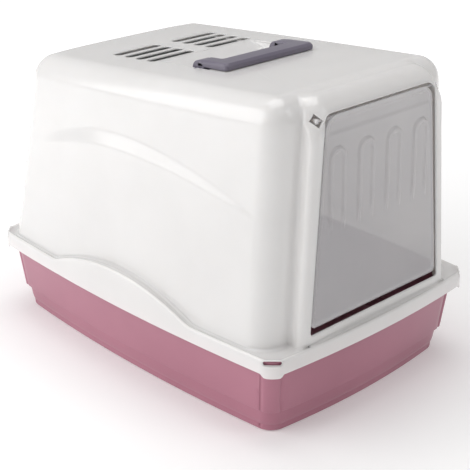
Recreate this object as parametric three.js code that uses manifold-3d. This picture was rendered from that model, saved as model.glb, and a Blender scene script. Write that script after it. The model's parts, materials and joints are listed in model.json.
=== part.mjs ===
// A hooded cat litter box: tray, hood, swing door, bail handle, and a carbon filter in its grille.
// Millimetres, +Z up. The origin is on the floor under the middle, and the door faces -Y.
import * as THREE from "three";
import { mergeVertices } from "three/addons/utils/BufferGeometryUtils.js";
import Module from "manifold-3d";

// ---- driving dimensions ----
const WALL = 2.4; // thickness of the hood's and the tray's walls
const GAP = 0.4; // gap between pieces that touch

// Tray: half sizes are taken at the middle of a side, where the bowed side is widest.
const FOOT = { halfX: 172.5, halfY: 255 };
const STEP_LOW = 30; // height at which the foot ends
const STEP_HIGH = 33; // height at which the flared wall starts
const FLARE_BASE = { halfX: 177, halfY: 259.6 };
const FLARE_TOP = { halfX: 184, halfY: 267 };
const LIP_LOW = 103;
const LIP_OUT = 5; // how far the lip stands out of the wall
const LIP_CORNER = 22;
const TRAY_BOW = { bowX: 12.5, bowY: 11 };
const TRAY_CORNER = 17;
const FLOOR_THICK = 3;

// Hood: skirt, shelf and walls.
const SKIRT = { halfX: 193, halfY: 276.3, bowX: 12.5, bowY: 10.5, radius: 22 };
const SKIRT_LOW = 94;
const SHELF = 113; // top of the shelf round the walls
const SHELF_THICK = 3.4;
const WALL_BASE = { halfX: 181, front: -251, back: 264, bowX: 10, bowY: 8, radius: 32 };
const WALL_TOP = { halfX: 154, front: -240, back: 226, bowX: 4, bowY: 3, radius: 34 };
const WALL_TOP_Z = 350; // height of the walls' top edge above the middle
const SHOULDER = 32; // radius between walls and roof
const ROOF_SLOPE = 0.074; // the roof falls towards the back
const CROWN = 1.6; // the roof's middle stands this much above its edges
const ARCH = { halfLength: 132, rise: 29, out: 190.5 }; // raised grip arch in the middle of each long side

// Front frame and visor.
const FRAME = { halfLow: 134, halfTop: 113, front: -258.5, cornerRadius: 28 };
const LEAN = 0.024; // the front leans out by this much per unit of drop
const LEAN_FROM = 375;
const OPENING = { low: 124, top: 379.8, halfLow: 116.5, halfTop: 96.5, topRadius: 14, lowRadius: 4 };

// Door.
const DOOR_CLEAR = 2.4; // between the door and the sides of its opening
// The door's top corners are rounder than the opening's, so that they clear it when the door swings out.
const DOOR = { low: 130.5, top: 377, topRadius: 23, front: -256.4, thick: 2.2, rimDepth: 5, rimWide: 2.4 };
const PIN = { y: -252, z: 374.5, radius: 1.9, from: 78, to: 107 };
const BEARING = { from: 105, to: 120, half: 5.5 };
const PEEPHOLE = { x: 103.6, halfWide: 6.3, halfHigh: 7.5 }; // diamond hole in front of each pin
const RIBS = { pitch: 49, count: 4, halfWide: 15, low: 246, top: 341, proud: 1.4 };

// Roof: vents, scoop and handle.
const VENT = { inner: 19.2, outer: 79.5, width: 14, rows: [111.8, 89.7, 67.6, 45.5] };
const SCOOP = { halfX: 80, front: -57, knee: -12, back: 35, kneeDepth: 15, frontDepth: 18 };
const HANDLE = { halfX: 76, armWide: 20, barFront: -84.5, barBack: -56, barThick: 8.5 };
const PIVOT = { y: -34, below: 3, radius: 10.8, pin: 3 };

// Filter under the vents.
const FILTER = { halfX: 88, y: 84, halfY: 41, padThick: 8, grilleDeep: 12 };

const wasm = await Module();
wasm.setup();

// ---- solids ----

// A closed geometry as a Manifold solid.
function solid(geometry) {
  geometry.deleteAttribute("normal");
  geometry.deleteAttribute("uv");
  const merged = mergeVertices(geometry, 1e-4);
  return new wasm.Manifold(
    new wasm.Mesh({
      numProp: 3,
      vertProperties: new Float32Array(merged.attributes.position.array),
      triVerts: new Uint32Array(merged.index.array),
    }),
  );
}

function meshOf(name, manifold, material) {
  const { vertProperties, triVerts } = manifold.getMesh();
  const geometry = new THREE.BufferGeometry();
  geometry.setAttribute("position", new THREE.BufferAttribute(new Float32Array(vertProperties), 3));
  geometry.setIndex(new THREE.BufferAttribute(new Uint32Array(triVerts), 1));
  geometry.computeVertexNormals();
  const mesh = new THREE.Mesh(geometry, material);
  mesh.name = name;
  return mesh;
}

// A solid lofted through closed rings of Vector3 that all have the same number of points.
// Each end is closed by a fan round the ring's own centre.
function loft(rings) {
  const count = rings[0].length;
  const positions = rings.flat();
  const first = positions.length;
  const centre = (ring) => ring.reduce((s, p) => s.add(p), new THREE.Vector3()).divideScalar(count);
  positions.push(centre(rings[0]), centre(rings.at(-1)));
  const index = [];
  for (let k = 0; k < count; k++) {
    const next = (k + 1) % count;
    for (let r = 0; r + 1 < rings.length; r++) {
      const [a, b, c, d] = [r * count + k, r * count + next, (r + 1) * count + next, (r + 1) * count + k];
      index.push(a, b, c, a, c, d);
    }
    const top = (rings.length - 1) * count;
    index.push(first, next, k, first + 1, top + k, top + next);
  }
  if (volumeOf(positions, index) < 0) index.reverse();
  const geometry = new THREE.BufferGeometry().setFromPoints(positions);
  geometry.setIndex(index);
  return solid(geometry);
}

function volumeOf(points, index) {
  let six = 0;
  for (let i = 0; i < index.length; i += 3) {
    const [a, b, c] = [points[index[i]], points[index[i + 1]], points[index[i + 2]]];
    six += a.dot(new THREE.Vector3().crossVectors(b, c));
  }
  return six / 6;
}

const SIDE_STEPS = 4; // steps from the middle of a side to its corner
const CORNER_STEPS = 6;

// Plan outline of a box with bowed sides and rounded corners, as [x, y] pairs going round once.
// Along a side the offset falls by bow times the square of the distance from its middle.
function bowedOutline({ halfX, halfY, bowX = 0, bowY = 0, radius }) {
  const corner = new THREE.Vector2(halfX - bowX, halfY - bowY);
  const end = new THREE.Vector2(corner.x - radius, corner.y - radius);
  const atY = (y) => halfX - bowX * (y / corner.y) ** 2;
  const atX = (x) => halfY - bowY * (x / corner.x) ** 2;
  const bend = new THREE.QuadraticBezierCurve(
    new THREE.Vector2(atY(end.y), end.y),
    new THREE.Vector2(corner.x + 0.3, corner.y + 0.3),
    new THREE.Vector2(end.x, atX(end.x)),
  );
  const quarter = [];
  for (let i = 0; i < SIDE_STEPS; i++) {
    const y = (end.y * i) / SIDE_STEPS;
    quarter.push([atY(y), y]);
  }
  quarter.push(...bend.getPoints(CORNER_STEPS).map((p) => [p.x, p.y]));
  for (let i = SIDE_STEPS - 1; i > 0; i--) {
    const x = (end.x * i) / SIDE_STEPS;
    quarter.push([x, atX(x)]);
  }
  const across = quarter.slice(1).reverse().map(([x, y]) => [-x, y]);
  const half = [...quarter, [0, halfY], ...across];
  return [...half, ...half.map(([x, y]) => [-x, -y])];
}

// One horizontal ring: a bowed outline at height z, whose height falls with y by the tilt.
function ring({ z, tilt = 0, inset = 0, front, back, halfY, ...plan }) {
  const centre = front === undefined ? 0 : (front + back) / 2;
  const half = front === undefined ? halfY : (back - front) / 2;
  const radius = Math.max(plan.radius - 0.5 * inset, 4);
  const points = bowedOutline({ ...plan, halfX: plan.halfX - inset, halfY: half - inset, radius });
  return points.map(([x, y]) => new THREE.Vector3(x, y + centre, z - tilt * (y + centre)));
}

// A flat outline in the XZ plane pushed along Y, from yLow to yHigh.
function slabAlongY(shape, yLow, yHigh, curveSegments = 6) {
  const geometry = new THREE.ExtrudeGeometry(shape, {
    depth: yHigh - yLow,
    bevelEnabled: false,
    curveSegments,
  });
  return solid(geometry.rotateX(Math.PI / 2).translate(0, yHigh, 0));
}

// A flat outline in the YZ plane pushed along X, from xLow to xHigh.
function slabAlongX(shape, xLow, xHigh, curveSegments = 6) {
  const geometry = new THREE.ExtrudeGeometry(shape, {
    depth: xHigh - xLow,
    bevelEnabled: false,
    curveSegments,
  });
  // The outline's first axis becomes Y, its second Z, and its depth X.
  geometry.rotateX(Math.PI / 2).rotateZ(Math.PI / 2);
  return solid(geometry.translate(xLow, 0, 0));
}

function box(low, high) {
  const size = high.map((h, i) => h - low[i]);
  const geometry = new THREE.BoxGeometry(...size);
  return solid(geometry.translate(...low.map((l, i) => l + size[i] / 2)));
}

function rodAlongX(xLow, xHigh, y, z, radius, sides = 16) {
  const geometry = new THREE.CylinderGeometry(radius, radius, xHigh - xLow, sides);
  return solid(geometry.rotateZ(Math.PI / 2).translate((xLow + xHigh) / 2, y, z));
}

const union = (...solids) => solids.reduce((a, b) => a.add(b));
const roofZ = (y) => WALL_TOP_Z + SHOULDER - ROOF_SLOPE * y; // along the roof's edges
const crownZ = (y) => roofZ(y) + CROWN; // over the roof's middle

// The front's lean: what is lower stands further out.
function lean(manifold) {
  return manifold.warp((p) => {
    p[1] -= LEAN * (LEAN_FROM - p[2]);
  });
}

// Outline of the door or of its opening, in X and Z: a trapezium with rounded corners.
function doorway({ low, top, halfLow, halfTop, topRadius, lowRadius }) {
  const shape = new THREE.Shape();
  shape.moveTo(-halfLow + lowRadius, low);
  shape.lineTo(halfLow - lowRadius, low);
  shape.quadraticCurveTo(halfLow, low, halfLow, low + lowRadius);
  shape.lineTo(halfTop, top - topRadius);
  shape.quadraticCurveTo(halfTop, top, halfTop - topRadius, top);
  shape.lineTo(topRadius - halfTop, top);
  shape.quadraticCurveTo(-halfTop, top, -halfTop, top - topRadius);
  shape.lineTo(-halfLow, low + lowRadius);
  shape.quadraticCurveTo(-halfLow, low, -halfLow + lowRadius, low);
  return shape;
}

// ---- tray ----

function trayRings(inset) {
  const plan = { ...TRAY_BOW, radius: TRAY_CORNER };
  const base = inset > 0 ? FLOOR_THICK : 0;
  const top = SHELF - SHELF_THICK - GAP + (inset > 0 ? 1 : 0);
  const level = (z, size, extra = 0) => ring({ ...plan, ...size, z, inset: inset + extra });
  const rings = [level(base, FOOT, 3), level(base + 3, FOOT), level(STEP_LOW, FOOT, -0.8)];
  rings.push(level(STEP_HIGH, FLARE_BASE));
  if (inset > 0) return [...rings, level(top, FLARE_TOP)];
  const lip = { ...FLARE_TOP, radius: LIP_CORNER };
  rings.push(level(LIP_LOW - 1.5, FLARE_TOP), level(LIP_LOW, lip, -LIP_OUT));
  return [...rings, level(top, lip, -LIP_OUT)];
}

function litterTray() {
  return loft(trayRings(0)).subtract(loft(trayRings(WALL)));
}

// ---- hood ----

// Walls, shoulder and roof as one lofted body, inset by the wall's thickness for the space inside.
function hoodBody(inset, baseZ) {
  const rings = [ring({ ...WALL_BASE, z: baseZ, inset })];
  if (baseZ < SHELF) rings.push(ring({ ...WALL_BASE, z: SHELF, inset }));
  const steps = 4;
  for (let i = 0; i <= steps; i++) {
    const angle = (i / steps) * (Math.PI / 2);
    const rise = (SHOULDER - inset) * Math.sin(angle);
    const draw = (SHOULDER - inset) * (1 - Math.cos(angle));
    rings.push(ring({ ...WALL_TOP, z: WALL_TOP_Z + rise, tilt: ROOF_SLOPE, inset: inset + draw }));
  }
  const crowned = WALL_TOP_Z + SHOULDER - inset + CROWN;
  rings.push(ring({ ...WALL_TOP, z: crowned, tilt: ROOF_SLOPE, inset: SHOULDER + 44 }));
  return loft(rings);
}

// The frame round the door and the visor over it, as outlines in XZ stacked towards -Y.
function frontFrame(inset) {
  const stations = [
    { y: -195, drop: 2, side: 0, radius: FRAME.cornerRadius },
    { y: -223, drop: 0.6, side: 0, radius: FRAME.cornerRadius },
    { y: -238, drop: 3, side: 0, radius: 24 },
    { y: -249, drop: 9.5, side: 0.8, radius: 14 },
    { y: -255.5, drop: 16, side: 3.6, radius: 7 },
    { y: FRAME.front, drop: 20, side: 8, radius: 4 },
  ];
  const rings = stations.map(({ y, drop, side, radius }) => {
    const top = roofZ(Math.max(y, -235)) - drop - inset;
    const low = SHELF - (inset > 0 ? 25 : 5);
    const halfLow = FRAME.halfLow - side - inset;
    const halfTop = FRAME.halfTop - side - inset;
    const arc = new THREE.QuadraticBezierCurve(
      new THREE.Vector2(halfTop, top - radius),
      new THREE.Vector2(halfTop, top),
      new THREE.Vector2(halfTop - radius, top),
    ).getPoints(5);
    const right = [new THREE.Vector2(halfLow, low), ...arc];
    const left = right.map((p) => new THREE.Vector2(-p.x, p.y)).reverse();
    const pushed = y + (y < -210 ? inset : 0);
    return [...right, ...left].map((p) => new THREE.Vector3(p.x, pushed, p.y));
  });
  return lean(loft(rings));
}

// Skirt and shelf as one solid disc.
function flange() {
  const edge = [
    { z: SKIRT_LOW, inset: 0 },
    { z: SHELF - 5, inset: 0.8 },
    { z: SHELF - 1.5, inset: 2.2 },
    { z: SHELF, inset: 5 },
  ];
  return loft(edge.map((level) => ring({ ...SKIRT, ...level })));
}

// The space under the shelf, where the tray's lip sits.
function underFlange() {
  const levels = [
    { z: SKIRT_LOW - 1, inset: 2.6 },
    { z: SHELF - SHELF_THICK, inset: 3.2 },
  ];
  return loft(levels.map((level) => ring({ ...SKIRT, ...level })));
}

// Arch-shaped pad that thickens the wall over the shelf in the middle of a long side.
function gripArch() {
  const shape = new THREE.Shape();
  shape.moveTo(-ARCH.halfLength, SHELF - 3);
  shape.lineTo(ARCH.halfLength, SHELF - 3);
  shape.lineTo(ARCH.halfLength, SHELF);
  shape.quadraticCurveTo(0, SHELF + 2 * ARCH.rise, -ARCH.halfLength, SHELF);
  const pad = slabAlongX(shape, 160, ARCH.out, 16);
  return union(pad, pad.mirror([1, 0, 0]));
}

function scoop(grow) {
  const floor = (y, depth) => crownZ(y) - depth - grow;
  const shape = new THREE.Shape();
  shape.moveTo(SCOOP.front - grow, floor(SCOOP.front, SCOOP.frontDepth));
  shape.lineTo(SCOOP.knee, floor(SCOOP.knee, SCOOP.kneeDepth));
  shape.lineTo(SCOOP.back, floor(SCOOP.back, 0));
  const above = grow > 0 ? -1 : 10; // the block that forms its underside stops inside the roof
  shape.lineTo(SCOOP.back, crownZ(SCOOP.back) + above);
  shape.lineTo(SCOOP.front - grow, crownZ(SCOOP.front) + above);
  return slabAlongX(shape, -SCOOP.halfX - grow, SCOOP.halfX + grow);
}

function ventSlots() {
  const slots = [];
  for (const side of [-1, 1]) {
    for (const y of VENT.rows) {
      const shape = new THREE.Shape();
      const half = VENT.width / 2;
      shape.absarc(VENT.outer, y, half, -Math.PI / 2, Math.PI / 2);
      shape.absarc(VENT.inner, y, half, Math.PI / 2, (3 * Math.PI) / 2);
      const geometry = new THREE.ExtrudeGeometry(shape, {
        depth: 40,
        bevelEnabled: false,
        curveSegments: 5,
      });
      const slot = solid(geometry.translate(0, 0, WALL_TOP_Z + 5));
      slots.push(side < 0 ? slot.mirror([1, 0, 0]) : slot);
    }
  }
  return union(...slots);
}

// Things that repeat at the four corners, made for the corner at +X +Y facing outwards at 45 degrees.
function atCorners(piece) {
  return union(
    piece,
    piece.mirror([1, 0, 0]),
    piece.mirror([0, 1, 0]),
    piece.mirror([1, 0, 0]).mirror([0, 1, 0]),
  );
}

// A block whose outer face stands at a skirt corner: x and y are the corner's middle.
function cornerBlock(wide, deep, out, low, high) {
  const geometry = new THREE.BoxGeometry(deep, wide, high - low);
  geometry.translate(out - deep / 2, 0, (low + high) / 2).rotateZ(Math.PI / 4);
  return solid(geometry.translate(CORNER.x, CORNER.y, 0));
}

const CORNER = {
  x: SKIRT.halfX - SKIRT.bowX - 0.27 * SKIRT.radius,
  y: SKIRT.halfY - SKIRT.bowY - 0.27 * SKIRT.radius,
};
const TAB = { wide: 25, deep: 2.8, low: 89.5, out: 1.2 };
const SLOT = { wide: 23, low: 105, high: 112 };

// Diamond hole in the frame in front of each door pin.
function peepholes() {
  const { x, halfWide, halfHigh } = PEEPHOLE;
  const shape = new THREE.Shape();
  shape.moveTo(x - halfWide, PIN.z);
  shape.lineTo(x, PIN.z - halfHigh);
  shape.lineTo(x + halfWide, PIN.z);
  shape.lineTo(x, PIN.z + halfHigh);
  const hole = slabAlongY(shape, FRAME.front - 3, FRAME.front + 6);
  return union(hole, hole.mirror([1, 0, 0]));
}

function pinBearings() {
  const { from, to, half } = BEARING;
  const block = box([from, PIN.y - half, PIN.z - half], [to, PIN.y + half, PIN.z + half]);
  const cup = rodAlongX(from - 1, PIN.to + GAP, PIN.y, PIN.z, PIN.radius + GAP);
  const bearing = block.intersect(frontFrame(1)).subtract(cup);
  return union(bearing, bearing.mirror([1, 0, 0]));
}

function hood() {
  const shell = union(hoodBody(0, SHELF - 4), frontFrame(0), flange(), gripArch());
  const space = union(hoodBody(WALL, SKIRT_LOW - 2), frontFrame(WALL), underFlange());
  const hollow = space.subtract(scoop(WALL));
  const pivotZ = crownZ(PIVOT.y) - PIVOT.below;
  const pivotHole = rodAlongX(-90, 90, PIVOT.y, pivotZ, PIVOT.pin + GAP);
  let result = shell.subtract(hollow).subtract(scoop(0)).subtract(ventSlots());
  result = result.subtract(pivotHole);
  result = result.subtract(lean(slabAlongY(doorway(OPENING), FRAME.front - 12, FRAME.front + 9)));
  result = result.add(atCorners(cornerBlock(TAB.wide, TAB.deep, TAB.out, TAB.low, SKIRT_LOW + 4)));
  result = result.subtract(atCorners(cornerBlock(SLOT.wide, 14, 6, SLOT.low, SLOT.high)));
  return result.subtract(peepholes()).add(pinBearings());
}

// ---- door ----

function doorFlap() {
  const drawn = {
    ...OPENING,
    low: DOOR.low,
    top: DOOR.top,
    halfLow: OPENING.halfLow - DOOR_CLEAR,
    halfTop: OPENING.halfTop - DOOR_CLEAR,
    topRadius: DOOR.topRadius,
    lowRadius: 8,
  };
  const inner = {
    ...drawn,
    low: drawn.low + DOOR.rimWide,
    top: drawn.top - DOOR.rimWide,
    halfLow: drawn.halfLow - DOOR.rimWide,
    halfTop: drawn.halfTop - DOOR.rimWide,
    topRadius: drawn.topRadius - DOOR.rimWide,
    lowRadius: drawn.lowRadius - DOOR.rimWide,
  };
  const block = slabAlongY(doorway(drawn), DOOR.front, DOOR.front + DOOR.rimDepth);
  const pocket = slabAlongY(doorway(inner), DOOR.front + DOOR.thick, DOOR.front + DOOR.rimDepth + 1);
  let door = block.subtract(pocket);
  for (let i = 0; i < RIBS.count; i++) {
    const x = (i - (RIBS.count - 1) / 2) * RIBS.pitch;
    const shape = new THREE.Shape();
    shape.moveTo(x - RIBS.halfWide, RIBS.low);
    shape.lineTo(x + RIBS.halfWide, RIBS.low);
    shape.lineTo(x + RIBS.halfWide, RIBS.top - RIBS.halfWide);
    shape.absarc(x, RIBS.top - RIBS.halfWide, RIBS.halfWide, 0, Math.PI);
    door = door.add(slabAlongY(shape, DOOR.front - RIBS.proud, DOOR.front + 0.5));
  }
  door = lean(door);
  for (const side of [-1, 1]) {
    const [low, high] = side < 0 ? [-PIN.to, -PIN.from] : [PIN.from, PIN.to];
    door = door.add(rodAlongX(low, high, PIN.y, PIN.z, PIN.radius));
  }
  return door;
}

// ---- handle ----

function carryHandle() {
  const roof = Math.atan(ROOF_SLOPE);
  const pivotZ = crownZ(PIVOT.y) - PIVOT.below;
  const chamfer = 3;
  // Arm and bar outlines in the roof's own plane, measured from the pivot.
  const lie = PIVOT.below + GAP;
  const [front, back] = [HANDLE.barFront - PIVOT.y, HANDLE.barBack - PIVOT.y];
  const bar = new THREE.Shape();
  bar.moveTo(front, lie);
  bar.lineTo(back, lie);
  bar.lineTo(back, lie + HANDLE.barThick - 1);
  bar.lineTo(back - 1, lie + HANDLE.barThick);
  bar.lineTo(front + chamfer, lie + HANDLE.barThick);
  bar.lineTo(front, lie + HANDLE.barThick - chamfer);
  const arm = new THREE.Shape();
  arm.moveTo(front, lie);
  arm.lineTo(back - 1, lie);
  arm.lineTo(-PIVOT.radius * 0.9, -PIVOT.radius * 0.4);
  arm.absarc(0, 0, PIVOT.radius, Math.PI * 1.13, Math.PI * 0.55);
  arm.lineTo(back, lie + HANDLE.barThick);
  arm.lineTo(front + chamfer, lie + HANDLE.barThick);
  arm.lineTo(front, lie + HANDLE.barThick - chamfer);
  const inner = HANDLE.halfX - HANDLE.armWide;
  const left = slabAlongX(arm, -HANDLE.halfX, -inner, 8);
  const right = slabAlongX(arm, inner, HANDLE.halfX, 8);
  const grip = slabAlongX(bar, 1 - HANDLE.halfX, HANDLE.halfX - 1);
  const pin = rodAlongX(-SCOOP.halfX - 2.5, -inner - 5, 0, 0, PIVOT.pin);
  const whole = union(left, right, grip, pin, pin.mirror([1, 0, 0]));
  return whole.rotate([(-roof * 180) / Math.PI, 0, 0]).translate([0, PIVOT.y, pivotZ]);
}

// ---- filter ----

// Both lie under the roof's inner face, in its plane: z is measured down from that face.
function underRoof(manifold) {
  const roof = (-Math.atan(ROOF_SLOPE) * 180) / Math.PI;
  return manifold.rotate([roof, 0, 0]).translate([0, FILTER.y, roofZ(FILTER.y) - WALL]);
}

function carbonFilter() {
  const [x, y] = [FILTER.halfX - WALL - 1.5, FILTER.halfY - WALL - 1.5];
  return underRoof(box([-x, -y, -GAP - FILTER.padThick], [x, y, -GAP]));
}

function filterGrille() {
  const { halfX, halfY, grilleDeep: deep, padThick } = FILTER;
  const floor = -2 * GAP - padThick;
  const inner = [halfX - 2.5, halfY - 2.5];
  let grille = box([-halfX, -halfY, -deep], [halfX, halfY, -GAP]);
  grille = grille.subtract(box([-inner[0], -inner[1], floor], [inner[0], inner[1], 1]));
  const columns = 4;
  const rows = 4;
  const bar = 4;
  const [wide, high] = [(2 * inner[0] - bar) / columns, (2 * inner[1] - bar) / rows];
  for (let c = 0; c < columns; c++) {
    for (let r = 0; r < rows; r++) {
      const low = [-inner[0] + bar + c * wide, -inner[1] + bar + r * high];
      grille = grille.subtract(box([...low, -deep - 1], [low[0] + wide - bar, low[1] + high - bar, 1]));
    }
  }
  return underRoof(grille);
}

// ---- assembly ----

const plastic = (color, roughness, extra = {}) =>
  new THREE.MeshStandardMaterial({ color, roughness, metalness: 0, ...extra });

const boxAndHood = new THREE.Group();
boxAndHood.add(
  meshOf("litter_tray", litterTray(), plastic(0xb87a90, 0.35)),
  meshOf("hood", hood(), plastic(0xefeae8, 0.25)),
  meshOf("door_flap", doorFlap(), plastic(0xa9a6aa, 0.15, { transparent: true, opacity: 0.7 })),
  meshOf("carry_handle", carryHandle(), plastic(0x8d8798, 0.35)),
  meshOf("carbon_filter", carbonFilter(), plastic(0x2c2c2f, 0.95)),
  meshOf("filter_grille", filterGrille(), plastic(0xe9e5e3, 0.4)),
);

export default boxAndHood;
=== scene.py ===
"""Looks of a hooded cat litter box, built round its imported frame.

Metres, +Z up. The origin is on the floor under the middle, and the door faces -Y.
"""

import json
import math

import bpy
import numpy as np
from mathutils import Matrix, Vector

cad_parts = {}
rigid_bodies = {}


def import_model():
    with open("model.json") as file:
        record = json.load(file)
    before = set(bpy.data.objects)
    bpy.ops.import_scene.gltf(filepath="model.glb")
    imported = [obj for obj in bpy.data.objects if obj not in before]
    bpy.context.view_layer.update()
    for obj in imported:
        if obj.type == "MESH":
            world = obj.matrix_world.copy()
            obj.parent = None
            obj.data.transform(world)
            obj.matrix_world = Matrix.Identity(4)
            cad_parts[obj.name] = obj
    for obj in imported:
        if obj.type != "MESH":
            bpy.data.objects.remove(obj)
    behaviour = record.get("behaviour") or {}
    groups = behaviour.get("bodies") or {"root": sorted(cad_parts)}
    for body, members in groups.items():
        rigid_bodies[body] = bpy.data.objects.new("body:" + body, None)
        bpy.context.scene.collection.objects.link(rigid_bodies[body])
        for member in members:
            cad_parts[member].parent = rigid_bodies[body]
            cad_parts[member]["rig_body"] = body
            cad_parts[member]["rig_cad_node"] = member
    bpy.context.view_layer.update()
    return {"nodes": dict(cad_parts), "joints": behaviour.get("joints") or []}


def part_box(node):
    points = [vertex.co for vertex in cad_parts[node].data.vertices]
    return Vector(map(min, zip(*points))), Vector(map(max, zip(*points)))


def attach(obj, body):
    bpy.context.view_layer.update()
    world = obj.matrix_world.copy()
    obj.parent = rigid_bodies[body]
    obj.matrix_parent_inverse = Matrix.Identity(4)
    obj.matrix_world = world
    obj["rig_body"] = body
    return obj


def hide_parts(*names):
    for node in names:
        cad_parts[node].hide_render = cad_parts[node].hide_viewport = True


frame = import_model()
hood_low, hood_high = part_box("hood")
door_low, door_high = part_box("door_flap")
pad_low, pad_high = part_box("carbon_filter")
pivots = {joint["name"]: joint.get("pos_m") for joint in frame["joints"]}

# ---- driving dimensions ----
WALL = 0.0024
BEAD = 0.52 * WALL  # radius of the beads that round the edges of openings
HALVINGS = 34  # halvings of a ray, which leave an error far below a thousandth of a millimetre

# Hood: skirt, shelf, walls and roof.
SKIRT = {"half_x": hood_high.x, "half_y": hood_high.y, "bow_x": 0.0125, "bow_y": 0.0105, "radius": 0.019}
SKIRT_LOW = 0.094
SHELF = 0.113
SKIRT_DRAFT = 0.0008
SHELF_ROUND = 0.0032
WALL_FILLET = 0.0028
CHANNEL_DEEP = 0.0013
BASE = {"half_x": 0.181, "front": -0.251, "back": 0.264, "bow_x": 0.010, "bow_y": 0.008, "radius": 0.028}
TOP = {"half_x": 0.154, "front": -0.240, "back": 0.226, "bow_x": 0.004, "bow_y": 0.003, "radius": 0.0295}
WALL_TOP = 0.350
SHOULDER = 0.032
ROOF_SLOPE = 0.074
CROWN = 0.0014
CROWN_HALF = 0.122
ARCH_HALF = 0.132
ARCH_RISE = 0.029
TAB_HALF = 0.0125
TAB_DROP = SKIRT_LOW - hood_low.z
HOOD_COLUMNS = 368

# Front frame and visor. The front leans out by LEAN for each unit below LEAN_FROM.
FRAME_FRONT = -0.2585
FRAME_BACK = -0.200
FRAME_HALF_LOW = 0.134
FRAME_HALF_TOP = 0.113
FRAME_LOW_Z = 0.108
FRAME_TOP_Z = 0.372
VISOR_RADIUS = 0.030
FRAME_EDGE = 0.008
FRAME_CORNER = 0.024
LEAN = 0.024
LEAN_FROM = 0.375
OPENING = {
    "low": 0.124,
    "top": 0.3798,
    "half_low": 0.1165,
    "half_top": 0.0965,
    "round_top": 0.014,
    "round_low": 0.004,
}

# Relief on the long sides: a crescent ledge over a panel that stands slightly proud.
RELIEF = 0.0046
RELIEF_HALF = 0.206
RELIEF_MIDDLE = -0.012

# Roof.
VENT_INNER = 0.0192
VENT_OUTER = 0.0795
VENT_HALF = 0.007
VENT_ROWS = (0.1118, 0.0897, 0.0676, 0.0455)
SCOOP = {
    "half_x": 0.080,
    "front": -0.057,
    "knee": -0.012,
    "back": 0.035,
    "knee_deep": 0.015,
    "front_deep": 0.018,
}
SCOOP_WALL = 0.6 * WALL

# Door.
DOOR_FRONT = -0.2564
DOOR_THICK = 0.002
DOOR = {
    "low": 0.1305,
    "top": door_high.z,
    "half_low": door_high.x,
    "half_top": 0.0941,
    "round_top": 0.023,
    "round_low": 0.008,
}
PIN_RADIUS = 0.0019
PIN_FROM = 0.078
PIN_TO = 0.1058
PEEPHOLE = {"x": 0.1036, "half_wide": 0.0063, "half_high": 0.0075}
PEEPHOLE_FROM = -0.244  # behind the frame's face, where the hole through it starts
PEEPHOLE_DEEP = 0.046
RIB_PITCH = 0.049
RIB_OUTER = 0.015
RIB_INNER = 0.009
RIB_LOW = 0.246
RIB_TOP = 0.341

# Corner slots.
CORNER_X = 0.17456
CORNER_Y = 0.25986
SLOT_HALF = 0.0115
SLOT_LOW = 0.105
SLOT_HIGH = 0.112
SLOT_BEAD_DEEP = 0.00121  # from the corner's middle to the middle of the bead round the slot

# Handle, in the roof's plane: along is towards the back and up is off the roof, from the pivot.
HANDLE_HALF = 0.076
ARM_WIDE = 0.020
BAR_FRONT = -0.0505
BAR_BACK = -0.022
BAR_THICK = 0.0085
EAR_RADIUS = 0.0108
HANDLE_LIE = 0.0034
STUB_RADIUS = 0.003


# ---- shapes as numbers ----

def lerp(a, b, t):
    """a at t = 0 and b at t = 1, in a straight line."""
    return a + (b - a) * t


def smooth_step(low, high, value):
    """0 below low, 1 above high, and 3t^2 - 2t^3 between them."""
    t = np.clip((value - low) / (high - low), 0, 1)
    return t * t * (3 - 2 * t)


def rounded_both(a, b, radius):
    """Signed distance to what lies inside both a and b, with the edge between them rounded.

    The length of the positive part of (a + r, b + r), plus the negative part of its greater one, less r."""
    p = a + radius
    q = b + radius
    outside = np.hypot(np.maximum(p, 0), np.maximum(q, 0))
    return outside + np.minimum(np.maximum(p, q), 0) - radius


def blended(a, b, reach):
    """Signed distance to what lies inside a or b, filleted where they meet: min(a, b) - h^2 reach / 4,
    where h falls from 1 to 0 as a and b grow apart by reach."""
    h = np.maximum(reach - np.abs(a - b), 0) / reach
    return np.minimum(a, b) - h * h * reach / 4


def plan_distance(x, y, half_x, half_y, bow_x, bow_y, radius):
    """Signed distance in plan to a box with bowed sides and rounded corners.

    A side stands in by its bow times the square of the place along it, which is 1 at the corner."""
    along_y = np.clip(np.abs(y) / (half_y - bow_y), 0, 1.1)
    along_x = np.clip(np.abs(x) / (half_x - bow_x), 0, 1.1)
    side = np.abs(x) - (half_x - bow_x * along_y**2)
    end = np.abs(y) - (half_y - bow_y * along_x**2)
    return rounded_both(side, end, radius)


def crossing(field, start, step, far):
    """How far along each ray start + t step the field turns positive, for t from 0 to far, by halving."""
    low = np.zeros(np.broadcast_shapes(start.shape, step.shape)[:-1])
    high = np.full(low.shape, far)
    for _ in range(HALVINGS):
        middle = (low + high) / 2
        inside = field(start + middle[..., None] * step) < 0
        low = np.where(inside, middle, low)
        high = np.where(inside, high, middle)
    return low


def outline_at(angle, half_x, half_y, bow_x, bow_y, radius):
    """Points of a bowed outline in plan, on the rays from its middle at these angles, where 0 is -Y."""
    step = np.stack([np.sin(angle), -np.cos(angle)], -1)

    def field(p):
        return plan_distance(p[..., 0], p[..., 1], half_x, half_y, bow_x, bow_y, radius)

    return crossing(field, np.zeros_like(step), step, 0.4)[..., None] * step


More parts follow.
